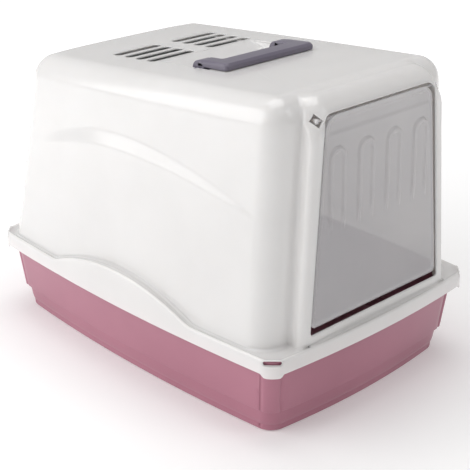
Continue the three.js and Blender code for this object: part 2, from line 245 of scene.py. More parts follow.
def rounded_profile(corners, step=0.006, arc_points=6):
    """A line through corners (a, b, radius), whose corners are quadratic arcs that begin radius away from
    them and whose straight runs are cut into lengths of at most step. Returns an array of (a, b)."""
    points = np.array([c[:2] for c in corners], float)
    made = [points[:1]]
    for k in range(1, len(corners)):
        towards = points[k] - points[k - 1]
        length = np.linalg.norm(towards)
        last = k == len(corners) - 1
        radius = 0 if last else min(corners[k][2], 0.45 * length)
        end = points[k] - towards / length * radius
        run = end - made[-1][-1]
        cuts = max(1, math.ceil(np.linalg.norm(run) / step))
        made.append(made[-1][-1] + run * np.linspace(0, 1, cuts + 1)[1:, None])
        if not last:
            onward = points[k + 1] - points[k]
            leave = points[k] + onward / np.linalg.norm(onward) * radius
            t = np.linspace(0, 1, arc_points)[1:, None]
            made.append((1 - t) ** 2 * end + 2 * t * (1 - t) * points[k] + t**2 * leave)
    return np.concatenate(made)


# ---- meshes ----

def grid_faces(rows, columns, wrap, offset=0):
    """Quads of a grid of rows by columns points. With wrap the last column joins the first."""
    index = np.arange(rows * columns).reshape(rows, columns) + offset
    if wrap:
        index = np.hstack([index, index[:, :1]])
    quads = np.stack([index[:-1, :-1], index[:-1, 1:], index[1:, 1:], index[1:, :-1]], -1)
    return quads.reshape(-1, 4).tolist()


def closed_tube(points, first_pole=None, last_pole=None):
    """Vertices and faces of a grid that wraps round, closed at an end by a fan to a pole if one is given."""
    rows, columns = points.shape[:2]
    vertices = points.reshape(-1, 3)
    faces = grid_faces(rows, columns, True)
    ring = np.arange(columns)
    after = np.roll(ring, -1)
    if first_pole is not None:
        pole = np.full(columns, len(vertices))
        vertices = np.vstack([vertices, first_pole])
        faces += np.stack([after, ring, pole], -1).tolist()
    if last_pole is not None:
        pole = np.full(columns, len(vertices))
        vertices = np.vstack([vertices, last_pole])
        top = (rows - 1) * columns
        faces += np.stack([top + ring, top + after, pole], -1).tolist()
    return vertices, faces


def together(parts):
    """Several (vertices, faces) as one."""
    vertices = []
    faces = []
    count = 0
    for points, polygons in parts:
        vertices.append(points)
        faces += [[i + count for i in polygon] for polygon in polygons]
        count += len(points)
    return np.vstack(vertices), faces


def new_object(name, shape):
    """An object at the origin whose mesh holds these vertices and faces, smooth-shaded."""
    vertices, faces = shape
    mesh = bpy.data.meshes.new(name)
    mesh.from_pydata(vertices.tolist(), [], faces)
    mesh.polygons.foreach_set("use_smooth", np.ones(len(faces), bool))
    mesh.update()
    made = bpy.data.objects.new(name, mesh)
    bpy.context.scene.collection.objects.link(made)
    return made


def settle(piece, sharp=math.radians(38)):
    """Puts a piece's modifiers into its mesh, and marks as sharp the edges that turn by more than sharp."""
    bpy.context.view_layer.update()
    evaluated = piece.evaluated_get(bpy.context.evaluated_depsgraph_get())
    mesh = bpy.data.meshes.new_from_object(evaluated)
    piece.modifiers.clear()
    piece.data = mesh
    mesh.polygons.foreach_set("use_smooth", np.ones(len(mesh.polygons), bool))
    mesh.set_sharp_from_angle(angle=sharp)
    mesh.update()


def finished(piece, body, slot, material, *nodes):
    """Rides a piece on its body, gives it its material, and hides the CAD nodes that it stands for. slot is
    not used.
    """
    piece.data.materials.clear()
    piece.data.materials.append(material)
    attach(piece, body)
    if nodes:
        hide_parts(*nodes)
    return piece


def swept_loop(path, normal, radius, sides=10):
    """A round bead of this radius along a closed path: each ring lies across the path's direction, in the
    plane of the path's normal and the direction square to both."""
    along = np.roll(path, -1, 0) - np.roll(path, 1, 0)
    along /= np.linalg.norm(along, axis=1, keepdims=True)
    up = np.broadcast_to(normal, path.shape)
    across = np.cross(up, along)
    across /= np.linalg.norm(across, axis=1, keepdims=True)
    turn = np.linspace(0, 2 * math.pi, sides, endpoint=False)[None, :, None]
    rings = path[:, None] + radius * (np.cos(turn) * across[:, None] + np.sin(turn) * up[:, None])
    faces = grid_faces(len(path), sides, True)
    last = np.arange(sides) + (len(path) - 1) * sides
    first = np.arange(sides)
    seam = np.stack([last, np.roll(last, -1), np.roll(first, -1), first], -1)
    return rings.reshape(-1, 3), faces + seam.tolist()


def prism(low_ring, high_ring):
    """A closed block between two rings of as many points, with flat ends."""
    count = len(low_ring)
    faces = grid_faces(2, count, True)
    faces.append(list(range(count))[::-1])
    faces.append(list(range(count, 2 * count)))
    return np.vstack([low_ring, high_ring]), faces


def spun_rod(profile, y, z, low_x, columns=28):
    """A rod along X: each (distance along X, radius) of the profile makes one ring round the line y, z."""
    turn = np.linspace(0, 2 * math.pi, columns, endpoint=False)
    along = np.broadcast_to(low_x + profile[:, 0, None], (len(profile), columns))
    radius = profile[:, 1, None]
    rings = np.stack([along, y + radius * np.cos(turn), z + radius * np.sin(turn)], -1)
    return closed_tube(rings, (low_x + profile[0, 0], y, z), (low_x + profile[-1, 0], y, z))


def soft_block(low, high, radius, rows=16, columns=32):
    """A box with rounded edges: each point of a ball of this radius moves to the corner on its own side."""
    low = np.array(low)
    high = np.array(high)
    polar = (np.arange(rows) + 0.5) / rows * math.pi
    turn = (np.arange(columns) + 0.5) / columns * 2 * math.pi
    ball = np.stack(
        [
            -np.sin(polar)[:, None] * np.cos(turn),
            -np.sin(polar)[:, None] * np.sin(turn),
            -np.cos(polar)[:, None] * np.ones(columns),
        ],
        -1,
    )
    middle = (low + high) / 2
    inner = (high - low) / 2 - radius
    points = middle + np.sign(ball) * inner + radius * ball
    return closed_tube(points, (middle[0], middle[1], low[2]), (middle[0], middle[1], high[2]))


def mirrored(shape):
    """The same shape on the other side of X = 0, with its faces turned to point outwards again."""
    vertices, faces = shape
    return vertices * np.array([-1, 1, 1]), [polygon[::-1] for polygon in faces]


def leaned(points):
    """Points moved towards -Y by LEAN for each unit that they lie below LEAN_FROM."""
    moved = points.copy()
    moved[..., 1] -= LEAN * (LEAN_FROM - points[..., 2])
    return moved


def half_width(z, low, top, half_low, half_top, round_top, round_low):
    """Half the width at height z of a trapezium with rounded corners. Its side runs straight from half_low to
    half_top, and each corner draws in by its radius times (1 - sqrt(distance to the edge / radius))^2."""
    share = (z - low - round_low) / (top - round_top - low - round_low)
    straight = lerp(half_low, half_top, np.clip(share, 0, 1))
    above = np.sqrt(np.clip((top - z) / round_top, 0, 1))
    below = np.sqrt(np.clip((z - low) / round_low, 0, 1))
    return straight - round_top * (1 - above) ** 2 - round_low * (1 - below) ** 2


def grown(size, by):
    """A half_width outline moved outwards by this much all round."""
    larger = {key: value + by for key, value in size.items()}
    larger["low"] = size["low"] - by
    return larger


def trapezium(size, y, count=34):
    """A closed ring of points in the XZ plane at y round a half_width outline, going round once."""
    low, top = size["low"], size["top"]
    t = (1 - np.cos(np.linspace(0, math.pi, count))) / 2
    foot = lerp(low, low + 0.03, t)[:-1]
    straight = np.linspace(low + 0.03, top - 0.04, 24)
    head = lerp(top - 0.04, top, t)[1:]
    z = np.concatenate([foot, straight, head])
    right = np.stack([half_width(z, **size), np.full_like(z, y), z], -1)
    left = right[::-1] * np.array([-1, 1, 1])
    return leaned(np.concatenate([right, left]))


# ---- hood ----

def roof_height(y):
    """Height of the roof's edges: a plane that falls towards the back."""
    return WALL_TOP + SHOULDER - ROOF_SLOPE * y


def roof_surface(x, y):
    """Height of the roof's outside: its plane and a flat crown, 1 - (x / half)^4, that fades to the visor."""
    return roof_height(y) + CROWN * np.clip(1 - (x / CROWN_HALF) ** 4, 0, 1) * smooth_step(-0.220, -0.140, y)


def body_field(p):
    """Signed distance to walls, shoulder and roof. The plan shrinks evenly from BASE to TOP, and the shoulder
    rounds the edge between walls and roof."""
    x, y, z = p[..., 0], p[..., 1], p[..., 2]
    t = np.clip((z - SHELF) / (WALL_TOP - ROOF_SLOPE * y - SHELF), 0, 1)
    size = {key: lerp(BASE[key], TOP[key], t) for key in BASE}
    half_y = (size["back"] - size["front"]) / 2
    middle = (size["back"] + size["front"]) / 2
    wall = plan_distance(x, y - middle, size["half_x"], half_y, size["bow_x"], size["bow_y"], size["radius"])
    return rounded_both(wall, z - roof_surface(x, y), SHOULDER)


def frame_field(p):
    """Signed distance to the frame round the door: a trapezium in front view, whose top rolls over into the
    visor and whose front leans out."""
    x, z = np.abs(p[..., 0]), p[..., 2]
    y = p[..., 1] + LEAN * (LEAN_FROM - z)
    half = lerp(FRAME_HALF_LOW, FRAME_HALF_TOP, (z - FRAME_LOW_Z) / (FRAME_TOP_Z - FRAME_LOW_Z))
    sink = 0.0008 + 0.003 * smooth_step(-0.232, FRAME_BACK, p[..., 1])
    top = roof_height(np.maximum(y, -0.215)) - sink
    visor = rounded_both(z - top, FRAME_FRONT - y, VISOR_RADIUS)
    edge = lerp(FRAME_EDGE, FRAME_CORNER, smooth_step(top - 0.046, top - 0.014, z))
    return np.maximum(rounded_both(x - half, visor, edge), p[..., 1] - FRAME_BACK)


def hood_field(p):
    """Walls and front frame as one, with a soft groove between them that closes up over the roof."""
    reach = lerp(0.0055, 0.003, smooth_step(0.335, 0.388, p[..., 2]))
    return blended(body_field(p), frame_field(p), reach)


def wall_points(out, z):
    """Where rays from the hood's axis meet its outside at height z."""
    start = np.stack([np.zeros_like(z), np.zeros_like(z), z], -1)
    return start + crossing(hood_field, start, out, 0.4)[..., None] * out


def shelf_height(y):
    """The shelf, raised over the middle of a long side by a parabola."""
    return SHELF + ARCH_RISE * np.maximum(0, 1 - (y / ARCH_HALF) ** 2)


def relief(y, z):
    """How far a long side stands proud: nothing over the crescent, RELIEF under it, and less towards the
    shelf and towards both ends. The crescent lies between two parabolas that are steeper towards the back."""
    upper = 0.308 - np.where(y > 0.010, 1.48, 0.80) * (y - 0.010) ** 2
    lower = 0.290 - np.where(y > -0.010, 1.00, 0.54) * (y + 0.010) ** 2
    share = (upper - z) / np.maximum(upper - lower, 0.004)
    over = 0.65 * np.clip(share, 0, 1) + 0.35 * smooth_step(0, 1, share)
    ends = np.clip(1 - ((y - RELIEF_MIDDLE) / RELIEF_HALF) ** 2, 0, 1) ** 0.75
    fall = smooth_step(0.115, 0.275, z)
    return RELIEF * over * ends * fall


def hood_angles(count):
    """Angles round the plan that lie closer together where the outline turns. Each gets the same share of
    arc length plus a share of turning."""
    fine = np.linspace(0, 2 * math.pi, 4001)
    out = np.stack([np.sin(fine), -np.cos(fine), np.zeros_like(fine)], -1)
    points = wall_points(out, np.full_like(fine, 0.22))
    steps = np.diff(points[:, :2], axis=0)
    length = np.hypot(steps[:, 0], steps[:, 1])
    heading = np.unwrap(np.arctan2(steps[:, 1], steps[:, 0]))
    turn = np.abs(np.diff(heading, prepend=heading[:1]))
    weight = length / length.sum() + 0.75 * turn / turn.sum()
    reached = np.concatenate([[0], np.cumsum(weight)])
    return np.interp(np.linspace(0, reached[-1], count, endpoint=False), reached, fine)


def skirt_bottom(points):
    """Height of the skirt's lower edge: straight, with a tab that hangs down at each corner."""
    past_x = np.abs(points[..., 0]) - CORNER_X
    past_y = np.abs(points[..., 1]) - CORNER_Y
    off_corner = np.abs(past_x - past_y) / math.sqrt(2)
    near = np.hypot(past_x, past_y) < 0.03
    drop = np.sqrt(np.clip(1 - ((off_corner - TAB_HALF + 0.004) / 0.004).clip(0) ** 2, 0, 1))
    return SKIRT_LOW - TAB_DROP * drop * near


def hood_surface():
    """The hood's outside as one grid: columns go round the plan, and rows climb the skirt, cross the shelf,
    climb the walls, fan over the shoulder and close in over the roof to its middle."""
    angle = hood_angles(HOOD_COLUMNS)
    out = np.stack([np.sin(angle), -np.cos(angle), np.zeros_like(angle)], -1)
    rows = []

    def skirt_row(inset):
        inward = {**SKIRT, "half_x": SKIRT["half_x"] - inset, "half_y": SKIRT["half_y"] - inset}
        return outline_at(angle, **inward)

    def add(plan, z):
        rows.append(np.stack([plan[..., 0], plan[..., 1], z], -1))

    for share in (0, 0.04, 0.12, 0.35, 0.6, 0.85, 1):
        plan = skirt_row(SKIRT_DRAFT * share + (0.0006 if share == 0 else 0))
        bottom = skirt_bottom(plan)
        add(plan, lerp(bottom, shelf_height(plan[:, 1]) - SHELF_ROUND, share))
    for turn in np.radians([22.5, 45, 67.5, 90]):
        plan = skirt_row(SKIRT_DRAFT + SHELF_ROUND * (1 - math.cos(turn)))
        add(plan, shelf_height(plan[:, 1]) - SHELF_ROUND * (1 - math.sin(turn)))

    foot = wall_points(out, np.full_like(angle, SHELF + WALL_FILLET))
    level = shelf_height(foot[:, 1])
    edge = rows[-1][:, :2]
    base = wall_points(out, level)[:, :2] + WALL_FILLET * out[:, :2]
    for share in (0.10, 0.22, 0.36, 0.50, 0.64, 0.78, 0.90):
        plan = lerp(edge, base, share)
        add(plan, lerp(shelf_height(plan[:, 1]), level, share))
    for turn in np.radians([0, 22.5, 45, 67.5]):
        z = level + WALL_FILLET * (1 - math.cos(turn))
        plan = wall_points(out, z)[:, :2] + WALL_FILLET * (1 - math.sin(turn)) * out[:, :2]
        add(plan, z)

    high = 0.336 - ROOF_SLOPE * foot[:, 1]
    for share in np.interp(np.linspace(0, 1, 52), [0, 0.26, 0.90, 1], [0, 0.50, 0.90, 1]):
        z = lerp(level + WALL_FILLET, high, share)
        wall = wall_points(out, z)
        facing = smooth_step(0.5, 0.95, np.abs(wall[:, 0]) / 0.17)
        wall[:, 0] += np.sign(wall[:, 0]) * relief(wall[:, 1], z) * facing
        rows.append(wall)

    inner = rows[-1] - 0.062 * out
    for turn in np.radians(np.linspace(0, 90, 27)[1:]):
        step = math.cos(turn) * out + np.array([0, 0, math.sin(turn)])
        rows.append(inner + crossing(hood_field, inner, step, 0.12)[:, None] * step)
    up = np.broadcast_to(np.array([0.0, 0.0, 1.0]), out.shape)
    for share in np.linspace(1, 0, 17)[1:-1]:
        start = inner * np.array([share, share, 0]) + np.array([0, 0, 0.33])
        rows.append(start + crossing(hood_field, start, up, 0.1)[:, None] * up)
    pole = np.array([[0, 0, 0.33]])
    pole = pole + crossing(hood_field, pole, up[:1], 0.1)[:, None] * up[:1]
    return closed_tube(np.stack(rows), last_pole=pole[0])


def channelled(points):
    """Points of the shelf sunk into the channel between its rim and the walls. The depth is CHANNEL_DEEP
    times a step up past the rim, a step down before the walls, and a step that spares the skirt below."""
    x, y, z = points.T
    level = shelf_height(y)
    size = (SKIRT["half_x"], SKIRT["half_y"], SKIRT["bow_x"], SKIRT["bow_y"], SKIRT["radius"])
    from_rim = -plan_distance(x, y, *size)
    from_wall = hood_field(np.stack([x, y, level], -1))
    past_rim = smooth_step(0.0036, 0.0050, from_rim)
    before_wall = smooth_step(WALL_FILLET, WALL_FILLET + 0.0013, from_wall)
    near = smooth_step(0.006, 0.004, level - z) * smooth_step(0.003, 0.0015, z - level)
    sunk = points.copy()
    sunk[:, 2] -= CHANNEL_DEEP * past_rim * before_wall * near
    return sunk


def capsule_ring(y, z, grow=0.0, count=12):
    """Outline of one vent slot in the XY plane on the +X side: two half circles joined by straight sides."""
    turn = np.linspace(-math.pi / 2, math.pi / 2, count)
    half = VENT_HALF + grow
    right = np.stack([VENT_OUTER + half * np.cos(turn), y + half * np.sin(turn)], -1)
    left = np.stack([VENT_INNER - half * np.cos(turn), y - half * np.sin(turn)], -1)
    ring = np.concatenate([right, left])
    height = z if np.ndim(z) else np.full(len(ring), z)
    return np.concatenate([ring, height[:, None]], -1)


def corner_ring(deep, low, high, half, round_by=0.0025, count=5):
    """Rounded rectangle that faces out of the +X +Y corner, deep units in from the corner's middle."""
    corners = [(half, high), (-half, high), (-half, low), (half, low)]
    across = []
    for k, (a, b) in enumerate(corners):
        turn = math.pi / 2 * k + np.linspace(0, math.pi / 2, count)
        centre = (a - math.copysign(round_by, a), b - round_by if b == high else b + round_by)
        arc = np.stack([np.cos(turn), np.sin(turn)], -1)
        across.append(np.array(centre) + round_by * arc)
    flat = np.concatenate(across)
    out = np.array([1.0, 1.0, 0.0]) / math.sqrt(2)
    side = np.array([-1.0, 1.0, 0.0]) / math.sqrt(2)
    start = np.array([CORNER_X, CORNER_Y, 0.0]) - deep * out
    return start + flat[:, :1] * side + flat[:, 1:] * np.array([0, 0, 1.0])


def at_corners(shape):
    """A shape at the +X +Y corner, and its mirror images at the other three corners."""
    vertices, faces = shape
    back = [shape, mirrored(shape)]
    turned = [polygon[::-1] for polygon in faces]
    front = (vertices * np.array([1, -1, 1]), turned)
    return back + [front, mirrored(front)]


def hood_cutters():
    """All that is cut out of the hood: doorway, vents, scoop, peepholes and corner slots."""
    doorway = grown(OPENING, BEAD)
    cuts = [prism(trapezium(doorway, -0.240), trapezium(doorway, -0.300))]
    for y in VENT_ROWS:
        slot = prism(capsule_ring(y, WALL_TOP, BEAD), capsule_ring(y, 0.41, BEAD))
        cuts += [slot, mirrored(slot)]
    inset = 0.0015
    x = SCOOP["half_x"] - inset
    front, back = SCOOP["front"] + inset, SCOOP["back"] - 0.0008
    ring = np.array([[-x, front, 0.35], [x, front, 0.35], [x, back, 0.35], [-x, back, 0.35]])
    cuts.append(prism(ring, ring + np.array([0, 0, 0.06])))
    wide, tall = PEEPHOLE["half_wide"], PEEPHOLE["half_high"]
    z = pivots["door_swing"][2]
    y = PEEPHOLE_FROM
    diamond = np.array([[wide, y, z], [0, y, z + tall], [-wide, y, z], [0, y, z - tall]])
    diamond[:, 0] += PEEPHOLE["x"]
    hole = prism(diamond, diamond - np.array([0, PEEPHOLE_DEEP, 0]))
    cuts += [hole, mirrored(hole)]
    inner = corner_ring(0.010, SLOT_LOW, SLOT_HIGH, SLOT_HALF)
    outer = corner_ring(-0.010, SLOT_LOW, SLOT_HIGH, SLOT_HALF)
    slot = prism(inner, outer)
    return together(cuts + at_corners(slot))


def scoop_pan():
    """The finger scoop: a grid over its rectangle, whose depth runs along two straight ramps and rises to the
    roof through rounded walls. Its rim dips just under the roof."""
    margin = 0.003
    x = np.linspace(-SCOOP["half_x"] - margin, SCOOP["half_x"] + margin, 150)[None, :]
    y = np.linspace(SCOOP["front"] - margin, SCOOP["back"] + 0.002, 96)[:, None]
    depth = np.interp(
        y,
        [SCOOP["front"], SCOOP["knee"], SCOOP["back"]],
        [SCOOP["front_deep"], SCOOP["knee_deep"], 0.0001],
    )
    inside = rounded_both(np.abs(x) - SCOOP["half_x"], SCOOP["front"] - y, 0.007)
    wall = smooth_step(0, 0.0045, -inside)
    lip = np.where(inside > -0.0005, 0.0001 - 0.35 * np.maximum(inside, 0), 0)
    fade = 0.0008 * smooth_step(SCOOP["back"], SCOOP["back"] + 0.002, y)
    z = roof_surface(x, y) - depth * wall + lip - fade
    points = np.stack(np.broadcast_arrays(x, y, z), -1)
    return points.reshape(-1, 3), grid_faces(points.shape[0], points.shape[1], False)


def hood_beads():
    """Rounded edges of the vents, the doorway and the corner slots: round beads along the middle of the cut
    wall, whose inner side is the opening's edge."""
    beads = []
    for y in VENT_ROWS:
        ring = capsule_ring(y, 0.0, BEAD, count=14)
        ring[:, 2] = roof_surface(ring[:, 0], ring[:, 1]) - BEAD
        loop = swept_loop(ring, np.array([0, 0, 1.0]), BEAD)
        beads += [loop, mirrored(loop)]
    edge = trapezium(grown(OPENING, BEAD), FRAME_FRONT + BEAD)
    start = edge * np.array([1, 0, 1]) + np.array([0, -0.200, 0])
    step = np.broadcast_to(np.array([0.0, -1.0, 0.0]), start.shape)
    reach = crossing(hood_field, start, step, 0.1)
    edge[:, 1] = start[:, 1] - reach + BEAD
    beads.append(swept_loop(edge, np.array([0, -1.0, 0]), BEAD))
    ring = corner_ring(SLOT_BEAD_DEEP, SLOT_LOW, SLOT_HIGH, SLOT_HALF, 0.0032, 6)
    off = (ring[:, :2] - np.array([CORNER_X, CORNER_Y])) @ np.array([-1, 1]) / math.sqrt(2)
    ring[:, :2] -= (off**2 * 17)[:, None] * np.array([1, 1]) / math.sqrt(2)
    loop = swept_loop(ring, np.array([1, 1, 0]) / math.sqrt(2), 0.0011)
    return together(beads + at_corners(loop))


def pin_bearings():
    """The cups behind the frame that hold the door's pins."""
    _, y, z = pivots["door_swing"]
    low = (0.0995, y + 0.0004, z - 0.0040)
    high = (0.1045, y + 0.0062, z + 0.0020)
    block = soft_block(low, high, 0.0008)
    return together([block, mirrored(block)])


def make_hood(material):
    hood = new_object("hood_shell", hood_surface())
    wall = hood.modifiers.new("wall", "SOLIDIFY")
    wall.thickness = WALL
    wall.offset = -1
    cutter = new_object("cutter", hood_cutters())
    cut = hood.modifiers.new("openings", "BOOLEAN")
    cut.operation = "DIFFERENCE"
    cut.solver = "EXACT"
    cut.object = cutter
    settle(hood)
    bpy.data.objects.remove(cutter)
    points = np.empty(3 * len(hood.data.vertices), np.float32)
    hood.data.vertices.foreach_get("co", points)
    sunk = channelled(points.reshape(-1, 3).astype(float))
    hood.data.vertices.foreach_set("co", sunk.astype(np.float32).ravel())
    hood.data.update()
    finished(hood, "hood", "hood_white", material, "hood")
    pan = new_object("finger_scoop", scoop_pan())
    thick = pan.modifiers.new("wall", "SOLIDIFY")
    thick.thickness = SCOOP_WALL
    thick.offset = -1
    settle(pan)
    finished(pan, "hood", "hood_white", material)
    finished(new_object("hood_edges", hood_beads()), "hood", "hood_white", material)
    finished(new_object("pin_bearings", pin_bearings()), "hood", "hood_white", material)


# ---- tray ----

def tray_surface():
    """The tray as one closed grid: rows go out under the floor, up the foot, over the step, up the flared
    wall, round the lip, down inside and back over the floor. Two flutes run down beside each corner."""
    reference = {"half_x": 0.184, "half_y": 0.267}
    profile = rounded_profile(
        [
            (-0.120, 0.0, 0),
            (-0.0150, 0.0, 0.003),
            (-0.0132, 0.0312, 0.0006),
            (-0.0068, 0.0318, 0.0010),
            (0.0, 0.1018, 0.0014),
            (0.0050, 0.1030, 0.0012),
            (0.0050, 0.1092, 0.0013),
            (-0.0022, 0.1092, 0.0013),
            (-0.0142, 0.0030, 0.012),
            (-0.120, 0.0030, 0),
        ],
        step=0.005,
    )
    angle = np.linspace(0, 2 * math.pi, 4001)
    plan = outline_at(angle, **reference, bow_x=0.0125, bow_y=0.011, radius=0.0165)
    length = np.hypot(*np.diff(plan, axis=0).T)
    heading = np.unwrap(np.arctan2(*np.diff(plan, axis=0).T[::-1]))
    turn = np.abs(np.diff(heading, prepend=heading[:1]))
    weight = length / length.sum() + 1.2 * turn / turn.sum()
    reached = np.concatenate([[0], np.cumsum(weight)])
    angle = np.interp(np.linspace(0, reached[-1], 400, endpoint=False), reached, angle)
    offset, z = profile[:, 0, None], profile[:, 1, None]
    plan = outline_at(
        np.broadcast_to(angle, (len(profile), len(angle))),
        reference["half_x"] + offset,
        reference["half_y"] + offset,
        0.0125,
        0.011,
        0.0165,
    )
    past_x = np.abs(plan[..., 0]) - 0.1715 - offset
    past_y = np.abs(plan[..., 1]) - 0.256 - offset
    off = np.abs(past_x - past_y) / math.sqrt(2)
    near = np.hypot(past_x, past_y) < 0.04
    outer = np.arange(len(profile))[:, None] < np.argmax(profile[:, 0])
    tall = smooth_step(0.001, 0.004, z) * smooth_step(0.1005, 0.096, z) * outer
    flute = 0.0022 * np.exp(-(((off - 0.0118) / 0.0015) ** 2)) * tall * near
    out = np.stack([np.sin(angle), -np.cos(angle)], -1)
    plan = plan - flute[..., None] * out
    points = np.concatenate([plan, np.broadcast_to(z, plan.shape[:2])[..., None]], -1)
    return closed_tube(points, (0, 0, 0.0), (0, 0, 0.003))


def make_tray(material):
    tray = new_object("tray_moulding", tray_surface())
    settle(tray)
    finished(tray, "tray", "tray_pink", material, "litter_tray")


# ---- door ----

def door_relief(x, z):
    """How far the door's face stands proud: four ribs with round tops that fade out downwards, each a raised
    band round a lower flat, a raised border, and a crease across the top."""
    raised = np.zeros(np.broadcast_shapes(x.shape, z.shape))
    for k in range(4):
        centre = (k - 1.5) * RIB_PITCH
        far = np.hypot(x - centre, np.maximum(z - RIB_TOP + RIB_OUTER, 0))
        band = smooth_step(RIB_OUTER + 0.0006, RIB_OUTER - 0.0024, far)
        flat = smooth_step(RIB_INNER + 0.0006, RIB_INNER - 0.0022, far)
        raised = raised + (0.0028 * band - 0.0022 * flat) * smooth_step(RIB_LOW - 0.012, RIB_LOW + 0.020, z)
    edge = np.minimum(half_width(z, **DOOR) - np.abs(x), np.minimum(DOOR["top"] - z, z - DOOR["low"]))
    border = 0.0010 * smooth_step(0.0058, 0.0040, edge) - 0.0012 * smooth_step(0.0014, 0.0, edge)
    crease = -0.0012 * smooth_step(0.3545, 0.3595, z) * smooth_step(0.0045, 0.0075, edge)
    free = smooth_step(0.358, 0.350, z)
    return raised + border * free + crease


def door_surface():
    """The door's face as a grid: each row is as wide as the door at its height, and its place along Y is the
    front plane less the relief, leaned with the frame."""
    size = DOOR
    ends = (1 - np.cos(np.linspace(0, math.pi / 2, 16))) * 0.02
    middle = np.linspace(size["low"] + 0.02, size["top"] - 0.02, 120)
    z = np.concatenate([size["low"] + ends[:-1], middle, size["top"] - ends[-2::-1]])[:, None]
    across = np.linspace(-1, 1, 241)
    across = np.sign(across) * (1 - (1 - np.abs(across)) ** 1.12)
    x = across[None, :] * half_width(z, **size)
    y = DOOR_FRONT - door_relief(x, z)
    points = leaned(np.stack(np.broadcast_arrays(x, y, z), -1))
    return points.reshape(-1, 3), grid_faces(points.shape[0], points.shape[1], False)


def door_rim():
    """The stiffening rim behind the door's edge: a flat bead with rounded edges carried round the outline."""
    inset = 0.0013
    size = {**DOOR, "low": DOOR["low"] + inset, "top": DOOR["top"] - inset}
    size["half_low"] -= inset
    size["half_top"] -= inset
    path = trapezium(size, DOOR_FRONT + 0.0034)
    along = np.roll(path, -1, 0) - np.roll(path, 1, 0)
    along /= np.linalg.norm(along, axis=1, keepdims=True)
    back = np.array([0, 1.0, 0])
    across = np.cross(back, along)
    across /= np.linalg.norm(across, axis=1, keepdims=True)
    turn = np.linspace(0, 2 * math.pi, 12, endpoint=False)
    squared = np.sign(np.cos(turn)) * np.abs(np.cos(turn)) ** 0.4
    risen = np.sign(np.sin(turn)) * np.abs(np.sin(turn)) ** 0.4
    rings = path[:, None] + 0.0011 * squared[None, :, None] * across[:, None]
    rings = rings + 0.0016 * risen[None, :, None] * back
    count = len(path)
    faces = grid_faces(count, 12, True)
    last = np.arange(12) + (count - 1) * 12
    first = np.arange(12)
    faces += np.stack([last, np.roll(last, -1), np.roll(first, -1), first], -1).tolist()
    return rings.reshape(-1, 3), [polygon[::-1] for polygon in faces]


def door_pins():
    """Two round pins with domed ends on the swing axis."""
    _, y, z = pivots["door_swing"]
    length = PIN_TO - PIN_FROM
    profile = rounded_profile(
        [(0, 0.0004, 0), (0, PIN_RADIUS, 0.0006), (length, PIN_RADIUS, 0.0008), (length, 0.0004, 0)]
    )
    pin = spun_rod(profile, y, z, PIN_FROM)
    return together([pin, mirrored(pin)])


def make_door(material):
    panel = new_object("door_panel", door_surface())
    thick = panel.modifiers.new("wall", "SOLIDIFY")
    thick.thickness = DOOR_THICK
    thick.offset = -1
    settle(panel)
    finished(panel, "door", "door_smoke", material, "door_flap")
    finished(new_object("door_rim", door_rim()), "door", "door_smoke", material)
    finished(new_object("door_pins", door_pins()), "door", "door_smoke", material)


# ---- handle ----

def roof_plane(points):
    """Turns points (across, along, up) from the handle's own axes into the roof's plane at its pivot."""
    _, y, z = pivots["handle_fold"]
    slope = math.atan(ROOF_SLOPE)
    along, up = points[..., 1], points[..., 2]
    placed_y = y + along * math.cos(slope) + up * math.sin(slope)
    placed_z = z - along * math.sin(slope) + up * math.cos(slope)
    return np.stack([points[..., 0], placed_y, placed_z], -1)


def handle_edge(half, reach, corner, points=9):
    """Half of a U in plan on the +X side: back along the arm from the middle of the bar, round one corner."""
    turn = np.linspace(0, math.pi / 2, points)
    bend = np.stack([half - corner + corner * np.sin(turn), reach + corner - corner * np.cos(turn)], -1)
    bar = np.stack([np.linspace(0, half - corner, 9), np.full(9, reach)], -1)[:-1]
    arm = np.stack([np.full(9, half), np.linspace(reach + corner, 0.0, 9)], -1)[1:]
    return np.concatenate([bar, bend, arm])


def handle_bail():
    """The handle's U: a section with a chamfered outer edge, carried between an outer and an inner outline.

    A point of the section at (share, offset, height) lies at outer + direction * (share * width + offset)."""
    outer = handle_edge(HANDLE_HALF, BAR_FRONT, 0.0055)
    inner = handle_edge(HANDLE_HALF - ARM_WIDE, BAR_BACK, 0.0035)
    outer = np.concatenate([outer[:0:-1] * np.array([-1, 1]), outer])
    inner = np.concatenate([inner[:0:-1] * np.array([-1, 1]), inner])
    width = np.linalg.norm(inner - outer, axis=1, keepdims=True)
    across = (inner - outer) / width
    low, high = HANDLE_LIE, HANDLE_LIE + BAR_THICK
    section = rounded_profile(
        [
            (0.0040, low, 0),
            (0.0, low, 0.0011),
            (0.0, high - 0.0034, 0.0010),
            (0.0034, high, 0.0012),
            (1.0 - 0.0013, high, 0.0011),
            (1.0, high - 0.0013, 0.0008),
            (1.0, low, 0.0011),
            (1.0 - 0.0040, low, 0),
        ],
        step=2.0,
        arc_points=5,
    )
    far = section[:, 0] > 0.5
    offset = np.where(far, section[:, 0] - 1, section[:, 0])
    place = np.where(far[None, :], width, 0) + offset[None, :]
    plan = outer[:, None] + across[:, None] * place[..., None]
    top_drop = 0.0012 * smooth_step(-0.010, 0.0, outer[:, 1])[:, None]
    height = np.broadcast_to(section[:, 1], place.shape) - top_drop * (section[:, 1] > high - 0.002)
    rings = np.concatenate([plan, height[..., None]], -1)
    ends = rings.mean(axis=1)[[0, -1]]
    vertices, faces = closed_tube(roof_plane(rings), roof_plane(ends[0]), roof_plane(ends[1]))
    return vertices, [polygon[::-1] for polygon in faces]


